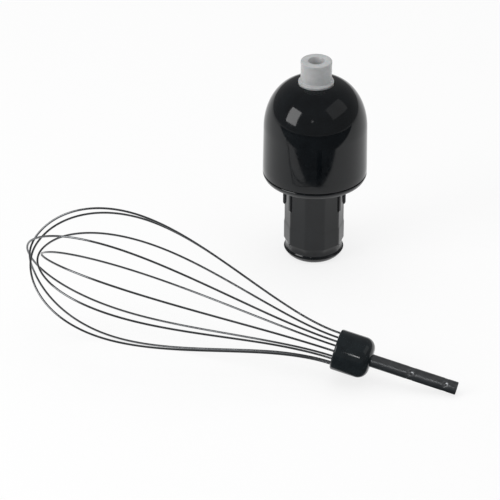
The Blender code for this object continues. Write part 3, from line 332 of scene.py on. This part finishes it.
def new_tree(name, sizes):
    """A geometry tree with a geometry input and named size inputs."""
    group = bpy.data.node_groups.new(name, "GeometryNodeTree")
    group.interface.new_socket("Geometry", in_out="INPUT", socket_type="NodeSocketGeometry")
    for label, kind in sizes.items():
        group.interface.new_socket(label, in_out="INPUT", socket_type=kind)
    group.interface.new_socket("Geometry", in_out="OUTPUT", socket_type="NodeSocketGeometry")
    return group, group.nodes.new("NodeGroupInput").outputs, group.nodes.new("NodeGroupOutput")


def baked(source, group, values, name):
    """Runs a tree on an object and keeps the result as a plain mesh."""
    step = source.modifiers.new(group.name, "NODES")
    step.node_group = group
    for item in group.interface.items_tree:
        if item.in_out == "INPUT" and item.name in values:
            step[item.identifier] = values[item.name]
    bpy.context.view_layer.update()
    graph = bpy.context.evaluated_depsgraph_get()
    data = bpy.data.meshes.new_from_object(source.evaluated_get(graph))
    source.modifiers.clear()
    bpy.data.objects.remove(source, do_unlink=True)
    data.name = name
    made = bpy.data.objects.new(name, data)
    bpy.context.scene.collection.objects.link(made)
    return made


def wire_tree():
    """Sweeps a round section along a bent centre line and closes its ends."""
    group, given, result = new_tree("bent wire", {
        "Wire Radius": "NodeSocketFloat", "Sides": "NodeSocketInt", "Finish": "NodeSocketMaterial"})
    ring = add(group, "GeometryNodeCurvePrimitiveCircle", {"Resolution": given["Sides"],
                                                           "Radius": given["Wire Radius"]})
    swept = add(group, "GeometryNodeCurveToMesh", {
        "Curve": given["Geometry"], "Profile Curve": ring.outputs["Curve"], "Fill Caps": True})
    smooth = add(group, "GeometryNodeSetShadeSmooth", {"Geometry": swept.outputs["Mesh"]})
    real = add(group, "GeometryNodeRealizeInstances", {"Geometry": smooth.outputs["Geometry"]})
    painted = add(group, "GeometryNodeSetMaterial", {"Geometry": real.outputs["Geometry"],
                                                     "Material": given["Finish"]})
    group.links.new(painted.outputs["Geometry"], result.inputs["Geometry"])
    return group


def rib_tree():
    """Sets one rib on each point of a ring, turned to stand out from the axis."""
    group, given, result = new_tree("bayonet ribs", {
        "Rib": "NodeSocketObject", "Finish": "NodeSocketMaterial"})
    rib = add(group, "GeometryNodeObjectInfo", {"Object": given["Rib"]})
    where = add(group, "GeometryNodeInputPosition").outputs["Position"]
    turn = add(group, "FunctionNodeAlignRotationToVector", {"Vector": where}, axis="X", pivot_axis="Z")
    copies = add(group, "GeometryNodeInstanceOnPoints", {"Points": given["Geometry"],
                                                         "Instance": rib.outputs["Geometry"],
                                                         "Rotation": turn.outputs["Rotation"]})
    real = add(group, "GeometryNodeRealizeInstances", {"Geometry": copies.outputs["Instances"]})
    painted = add(group, "GeometryNodeSetMaterial", {"Geometry": real.outputs["Geometry"],
                                                     "Material": given["Finish"]})
    group.links.new(painted.outputs["Geometry"], result.inputs["Geometry"])
    return group


RIB_CORNERS = (0, 1, 4, 5, 6, 9)
RIB_WIDTH = 1.3
RIB_ROOT = 13.8
RIB_OUT = 15.7
RIB_LOW = 27.2
RIB_HIGH = 41.4
RIB_EDGE = 0.12              # how far the ribs' long edges are broken

side = [(RIB_ROOT, RIB_LOW), (RIB_OUT - 0.5, RIB_LOW), (RIB_OUT - 0.1, RIB_LOW + 0.7),
        (RIB_OUT, RIB_LOW + 1.1), (RIB_OUT, RIB_HIGH), (RIB_ROOT, RIB_HIGH)]
half_rib = RIB_WIDTH / 2
rib_rings = []
for across, inset in ((-half_rib, RIB_EDGE), (-half_rib + RIB_EDGE, 0), (half_rib - RIB_EDGE, 0),
                      (half_rib, RIB_EDGE)):
    rib_rings.append([(x - (inset if x > RIB_ROOT else 0), across, z) for x, z in side])
rib = lofted("rib", rib_rings, neck_abs, Matrix.Identity(4), closed=False)
# The rib's mesh already stands off the axis. Its places lie just off it, to show which way each faces.
OFF_AXIS = 1e-6
corners = bmesh.new()
for corner in RIB_CORNERS:
    angle = math.tau * corner / FACETS
    corners.verts.new((math.cos(angle) * OFF_AXIS, math.sin(angle) * OFF_AXIS, 0))
data = bpy.data.meshes.new("rib places")
corners.to_mesh(data)
corners.free()
places = bpy.data.objects.new("rib places", data)
bpy.context.scene.collection.objects.link(places)
ribs = baked(places, rib_tree(), {"Rib": rib, "Finish": neck_abs}, "neck_ribs")
bpy.data.objects.remove(rib, do_unlink=True)
ribs.data.transform(ON_ADAPTER)
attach(ribs, "housing")


# Output socket and its sleeve. The socket's foot turns in the upper bush and has a snap ring's groove.

SOCKET_LOW = 65.2
SOCKET_BORE = 4.75
JOURNAL = 7.4
SNAP_GROOVE = 7.0
FLANGE = 8.8
FLANGE_ROUND = 0.7
FLANGE_TOP = MOUTH_TOP + 1.1
FLANGE_LOW = FLANGE_TOP - 2.7
STEM_FOOT = 7.67
STEM_ROUND = 0.6
RIM = 7.72
SOCKET_TOP = FLANGE_TOP + 10.6
FUNNEL_LOW = SOCKET_TOP - 3.8
socket_profile = [
    (SOCKET_BORE, SOCKET_LOW), (JOURNAL, SOCKET_LOW), (JOURNAL, 66.4), (SNAP_GROOVE, 66.4),
    (SNAP_GROOVE, 67.3), (JOURNAL, 67.3), (JOURNAL, FLANGE_LOW),
    (FLANGE - 0.15, FLANGE_LOW), (FLANGE, FLANGE_LOW + 0.15),
    *arc((FLANGE - FLANGE_ROUND, FLANGE_TOP - FLANGE_ROUND), FLANGE_ROUND, 0, 90, 6),
    *arc((STEM_FOOT + STEM_ROUND, FLANGE_TOP + STEM_ROUND), STEM_ROUND, 270, 180, 5),
    (7.62, FLANGE_TOP + 2.5), (7.6, SOCKET_TOP - 2.6), (7.63, SOCKET_TOP - 2.2), (7.7, SOCKET_TOP - 1.7),
    (RIM, SOCKET_TOP - 1.3), *arc((RIM - STEM_ROUND, SOCKET_TOP - STEM_ROUND), STEM_ROUND, 0, 90, 6),
    (4.3, SOCKET_TOP), (4.15, SOCKET_TOP - 0.05), (3.95, SOCKET_TOP - 0.3), (3.45, SOCKET_TOP - 3.6),
    (3.42, FUNNEL_LOW), (SOCKET_BORE, FUNNEL_LOW),
]
socket = turned("socket_body", socket_profile, grey_acetal, ON_ADAPTER, 128, angle=32)
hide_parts("output_socket")
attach(socket, "output")


SLEEVE_LOW = 72.2
SLEEVE_TOP = SOCKET_TOP - 4.1
SLEEVE_OUTSIDE = 4.6
SLEEVE_BORE = 3.3
SLEEVE_EDGE = 0.3
KEYWAYS = 4
KEYWAY_REACH = 3.9
KEYWAY_HALF = 0.8


def sleeve_ring(height, grown=0.0):
    """Bore of the sleeve with its keyways, opened out by grown mm."""
    ring = []
    for key in range(KEYWAYS):
        middle = math.tau * key / KEYWAYS
        for y in (-KEYWAY_HALF - grown, KEYWAY_HALF + grown):
            x = KEYWAY_REACH + grown
            ring.append((x * math.cos(middle) - y * math.sin(middle),
                         x * math.sin(middle) + y * math.cos(middle), height))
        first = math.asin(KEYWAY_HALF / SLEEVE_BORE)
        for i in range(11):
            angle = middle + first + (math.tau / KEYWAYS - 2 * first) * i / 10
            radius = SLEEVE_BORE + grown
            ring.append((radius * math.cos(angle), radius * math.sin(angle), height))
    return ring


def round_ring(radius, height):
    """Circle with its points at the same turns as the sleeve's bore."""
    return [(radius * math.cos(math.atan2(y, x)), radius * math.sin(math.atan2(y, x)), height)
            for x, y, _ in sleeve_ring(0)]


sleeve_rings = [round_ring(SLEEVE_OUTSIDE, SLEEVE_LOW), round_ring(SLEEVE_OUTSIDE, SLEEVE_TOP),
                sleeve_ring(SLEEVE_TOP, SLEEVE_EDGE), sleeve_ring(SLEEVE_TOP - 0.35),
                sleeve_ring(SLEEVE_LOW)]
sleeve = lofted("socket_sleeve", sleeve_rings, natural_acetal, ON_ADAPTER)
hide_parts("socket_liner")
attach(sleeve, "output")


# Whisk wires. A loop leaves the collar straight, flares to its belly and closes round its tip.

WIRE_RADIUS = 0.5
WIRE_SIDES = 16
WIRE_CIRCLE = 8.1            # radius of the ring of holes in the collar
WIRE_GRIP = 7.5              # how deep each end sits in the collar
BALLOON = 31.0
BELLY_SHARE = 0.70           # where along its reach a loop is widest
FLARE_PULLS = (30.5, 34.0)   # how far the flare runs on straight, at the collar and at the belly
TIP_PULLS = (30.6, 12.9)     # and the tip, at the belly and across the end
BEND_STEPS = 48
TIP_CROSSING = 14            # within this radius, the two halves of a loop turn into one plane
# Reach, turns of the upper and lower half in degrees, and their widths as shares of the balloon
LOOPS = (
    (152.8, 58.7, 63.1, 0.99, 0.99),
    (151.2, 108.2, 84.5, 1.03, 1.17),
    (149.7, 143.4, 152.4, 1.02, 1.05),
    (146.4, 172.4, 179.8, 0.95, 0.97),
    (144.9, 205.0, 206.5, 1.00, 1.00),
)


def bend(start, first, second, end):
    """Points of a cubic curve between start and end, drawn towards the two others."""
    points = []
    for i in range(BEND_STEPS + 1):
        t = i / BEND_STEPS
        weights = ((1 - t) ** 3, 3 * (1 - t) ** 2 * t, 3 * (1 - t) * t ** 2, t ** 3)
        points.append(tuple(sum(w * p[axis] for w, p in zip(weights, (start, first, second, end)))
                            for axis in (0, 1)))
    return points


def half_loop(reach, width):
    """One half of a loop as (radius, distance beyond the collar): flare, belly and round tip."""
    belly = BELLY_SHARE * reach
    radius = BALLOON * width
    out = bend((WIRE_CIRCLE, 0), (WIRE_CIRCLE, FLARE_PULLS[0]), (radius, belly - FLARE_PULLS[1]),
               (radius, belly))
    back = bend((radius, belly), (radius, belly + TIP_PULLS[0]), (TIP_PULLS[1], reach), (0, reach))
    return [(WIRE_CIRCLE, -WIRE_GRIP)] + out + back[1:]


def loop_path(loop):
    """Centre line of a whole loop in the whisk's own place, from end to end."""
    reach, upper_turn, lower_turn, upper_width, lower_width = loop
    middle = (upper_turn + lower_turn) / 2
    path = []
    for sign, turn, width in ((1, upper_turn, upper_width), (-1, lower_turn, lower_width)):
        half = []
        for radius, along in half_loop(reach, width):
            share = min(1, radius / TIP_CROSSING)
            angle = math.radians(middle + (turn - middle) * share * share * (3 - 2 * share))
            half.append(Vector((sign * radius * math.cos(angle), sign * radius * math.sin(angle), along)))
        path = half if sign == 1 else path + half[-2::-1]
    return path


bent_wire = wire_tree()
for number, loop in enumerate(LOOPS, 1):
    path = loop_path(loop)
    curve = bpy.data.curves.new("wire line", "CURVE")
    curve.dimensions = "3D"
    spline = curve.splines.new("POLY")
    spline.points.add(len(path) - 1)
    for point, spot in zip(spline.points, path):
        point.co = (*(WHISK @ (spot * MM)), 1)
    line = bpy.data.objects.new("wire line", curve)
    bpy.context.scene.collection.objects.link(line)
    wire = baked(line, bent_wire, {"Wire Radius": WIRE_RADIUS * MM, "Sides": WIRE_SIDES,
                                   "Finish": wire_steel_with_painted_shade}, f"whisk_wire_{number}")
    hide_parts(f"wire_loop_{number}")
    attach(wire, "housing")


# Collar and shaft. Both run from the collar's wire face towards minus z in the whisk's own place.

COLLAR_RADIUS = 9.7
COLLAR_LENGTH = 17.6
WIRE_FACE = 7.1
WIRE_FACE_ROUND = 1.2
NOSE_ROUND = 5.2             # the end that the shaft comes out of
SHAFT_HOLE = 3.2
SHAFT_HOLE_END = -8.3
collar_profile = [
    (0, 0), (WIRE_FACE, 0),
    *arc((COLLAR_RADIUS - WIRE_FACE_ROUND, -WIRE_FACE_ROUND), WIRE_FACE_ROUND, 90, 0, 8),
    *arc((COLLAR_RADIUS - NOSE_ROUND, -COLLAR_LENGTH + NOSE_ROUND), NOSE_ROUND, 0, -84, 16),
    (4.0, -COLLAR_LENGTH), (SHAFT_HOLE + 0.25, -COLLAR_LENGTH), (SHAFT_HOLE + 0.05, -COLLAR_LENGTH + 0.2),
    (SHAFT_HOLE, SHAFT_HOLE_END), (0, SHAFT_HOLE_END),
]
collar = turned("collar_body", collar_profile[::-1], collar_pp, WHISK, 144, closed=False, angle=30)
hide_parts("whisk_collar")
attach(collar, "housing")

SHAFT_RADIUS = 3.05
SHAFT_SIDES = 96
SHAFT_ROOT = -COLLAR_LENGTH + 9.0    # its end inside the collar
END_ROUND = 0.3
CRIMPS = ((19.0, 3.1), (35.8, 2.2))  # distance from the collar, and length
CRIMP_SHARE = 0.55           # how much of its length a crimp is pressed in to either side of its middle
PRESSES = 4
EAR = 0.30
DIMPLE = 0.75


def shaft_rings():
    """Rod with four pressed dimples at each crimp and a small ear raised between them."""
    end = -SHAFT_REACH
    heights = [SHAFT_ROOT, -COLLAR_LENGTH - 10.0]
    for place, length in CRIMPS:
        middle = -COLLAR_LENGTH - place
        heights += [middle + length * (0.7 - 1.4 * i / 20) for i in range(21)]
    heights += [end + 0.35, end + 0.15, end + 0.03, end]
    rings = []
    for z in sorted(heights, reverse=True):
        ring = []
        for i in range(SHAFT_SIDES):
            angle = math.tau * i / SHAFT_SIDES
            radius = SHAFT_RADIUS
            if z < end + END_ROUND:
                fall = (end + END_ROUND - z) / END_ROUND
                radius -= END_ROUND * (1 - math.sqrt(max(0, 1 - fall ** 2)))
            for place, length in CRIMPS:
                press = 1 - abs(z + COLLAR_LENGTH + place) / (length * CRIMP_SHARE)
                if press > 0:
                    wave = math.cos(PRESSES * angle)
                    radius += press * (EAR * max(wave, 0) ** 2 - DIMPLE * max(-wave, 0))
            ring.append((radius * math.cos(angle), radius * math.sin(angle), z))
        rings.append(ring)
    return rings


shaft = lofted("shaft_rod", shaft_rings(), rod_steel_with_painted_shade, WHISK, closed=False, angle=40)
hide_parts("drive_shaft")
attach(shaft, "housing")


# Finishes of the pieces inside, which keep the frame's shapes

INNER_FINISHES = {
    "ring_gear": ring_nylon, "bearing_plate": ring_nylon, "planet_carrier": gear_acetal,
    "input_coupling": gear_acetal, "planet_gear_": gear_acetal, "planet_pin_": ground_steel,
    "sun_gear": ground_steel, "input_shaft": ground_steel, "input_snap_ring": ground_steel,
    "output_snap_ring": ground_steel, "lower_bush": bush_bronze, "upper_bush": bush_bronze,
    "shaft_seal": seal_rubber, "plate_screw_": zinc_plate,
}
for name, item in frame["nodes"].items():
    for start, paint in INNER_FINISHES.items():
        if name.startswith(start):
            for slot in item.material_slots:
                slot.material = paint


# Studio: a white floor, a large soft light overhead, a window-like softbox at the front left, a dim panel
# at the front right, a narrow beam on the shaft and a grey card of painted shade on the ground in front,
# which only reflections see. Its sizes are in m.

def stage_plane(name, corners, paint):
    """A flat sheet that belongs to the studio."""
    sheet = bmesh.new()
    sheet.faces.new([sheet.verts.new(corner) for corner in corners])
    data = bpy.data.meshes.new(name)
    sheet.to_mesh(data)
    sheet.free()
    data.materials.append(paint)
    made = bpy.data.objects.new(name, data)
    bpy.context.scene.collection.objects.link(made)
    return made


# The floor is matt white. To the camera, and less so in metal and gloss, it also glows to just white,
# which leaves the object's shadow faint.
CAMERA_GLOW = 0.8
MIRROR_GLOW = 0.5
FLOOR_REACH = 6.0
FLOOR_SIDES = 64
floor_paint = bpy.data.materials.new("white studio floor")
floor_paint.use_nodes = True
tree = floor_paint.node_tree
tree.nodes.clear()
rays = add(tree, "ShaderNodeLightPath").outputs
mirrored = add(tree, "ShaderNodeMath", {0: rays["Is Glossy Ray"], 1: rays["Is Transmission Ray"]},
               operation="MAXIMUM")
mirrored = add(tree, "ShaderNodeMath", {0: mirrored.outputs[0], 1: MIRROR_GLOW}, operation="MULTIPLY")
share = add(tree, "ShaderNodeMath", {0: rays["Is Camera Ray"], 1: CAMERA_GLOW, 2: mirrored.outputs[0]},
            operation="MULTIPLY_ADD")
matt = add(tree, "ShaderNodeBsdfDiffuse", {"Color": linear("#f6f6f6")})
glow = add(tree, "ShaderNodeEmission", {"Color": linear("#ffffff"), "Strength": 1.0})
mixed = add(tree, "ShaderNodeMixShader", {0: share.outputs[0], 1: matt.outputs[0], 2: glow.outputs[0]})
add(tree, "ShaderNodeOutputMaterial", {"Surface": mixed.outputs[0]})
floor_turns = [math.tau * i / FLOOR_SIDES for i in range(FLOOR_SIDES)]
stage_plane("floor", [(FLOOR_REACH * math.cos(turn), FLOOR_REACH * math.sin(turn), 0)
                      for turn in floor_turns], floor_paint)

# The card is painted shade: only reflections see it, and it darkens the floor that gloss and metal mirror
# in front of the set.
shade_card_paint = bpy.data.materials.new("grey card")
shade_card_paint.use_nodes = True
card_shader = shade_card_paint.node_tree.nodes["Principled BSDF"]
card_shader.inputs["Base Color"].default_value = linear("#5e6265")
card_shader.inputs["Roughness"].default_value = 0.9
CARD_NEAR = ADAPTER.y - 0.122
CARD_FAR = -3
CARD_SIDE = 2
CARD_LIFT = 0.0001           # over the floor, so that reflections meet the card first
card = stage_plane("dark card", [(-CARD_SIDE, CARD_NEAR, CARD_LIFT), (-CARD_SIDE, CARD_FAR, CARD_LIFT),
                                 (CARD_SIDE, CARD_FAR, CARD_LIFT), (CARD_SIDE, CARD_NEAR, CARD_LIFT)],
                   shade_card_paint)
card.visible_camera = False
card.visible_diffuse = False
card.visible_shadow = False
card.visible_transmission = False


def area_light(name, spot, aim, size, power, shown=True, spread=180):
    """A lamp turned towards aim, with its power in W. One that isn't shown leaves no image in gloss."""
    lamp = bpy.data.lights.new(name, "AREA")
    lamp.shape = "RECTANGLE"
    lamp.size, lamp.size_y = size
    lamp.energy = power
    lamp.spread = math.radians(spread)
    made = bpy.data.objects.new(name, lamp)
    made.location = spot
    made.rotation_euler = (Vector(aim) - Vector(spot)).to_track_quat("-Z", "Y").to_euler()
    made.visible_glossy = shown
    bpy.context.scene.collection.objects.link(made)


DOME_MIDDLE = ADAPTER + Vector((0, 0, 0.085))
area_light("overhead softbox", (0.0, 0.25, 1.6), (0, 0, 0), (2.2, 2.2), 23, shown=False)
area_light("window softbox", DOME_MIDDLE + Vector((-0.75, -0.42, 0.41)), DOME_MIDDLE, (0.46, 0.53), 3.4)
area_light("dim side panel", DOME_MIDDLE + Vector((0.75, -0.30, 0.70)), DOME_MIDDLE, (0.95, 0.6), 0.7)
SHAFT_MIDDLE = Vector(shaft_end["pos_m"]) + tip_way * 0.025
area_light("narrow beam", SHAFT_MIDDLE + Vector((-0.155, -0.861, 0.484)), SHAFT_MIDDLE, (0.14, 0.18),
           0.0017, spread=8)

WORLD_LEVEL = 0.24           # what lights the object from all round. The camera sees white.
world = bpy.data.worlds.new("studio")
bpy.context.scene.world = world
world.use_nodes = True
tree = world.node_tree
rays = add(tree, "ShaderNodeLightPath").outputs
level = add(tree, "ShaderNodeMapRange", {"Value": rays["Is Camera Ray"], "To Min": WORLD_LEVEL,
                                         "To Max": 1.0})
sky = tree.nodes["Background"]
sky.inputs["Color"].default_value = linear("#ffffff")
tree.links.new(level.outputs["Result"], sky.inputs["Strength"])


# Camera, set from the photograph's perspective: a long lens looking down at the set

CAMERA_FROM_ADAPTER = Vector((-32.25, -1065.41, 635.96)) * MM
CAMERA_PITCH = 30.84
LENS = 176.02
camera_data = bpy.data.cameras.new("camera")
camera_data.lens = LENS
camera_data.sensor_width = 36
camera_data.clip_end = 20
camera = bpy.data.objects.new("camera", camera_data)
camera.location = ADAPTER + CAMERA_FROM_ADAPTER
camera.rotation_euler = (math.radians(90 - CAMERA_PITCH), 0, 0)
bpy.context.scene.collection.objects.link(camera)
bpy.context.scene.camera = camera
bpy.context.scene.view_settings.view_transform = "Standard"
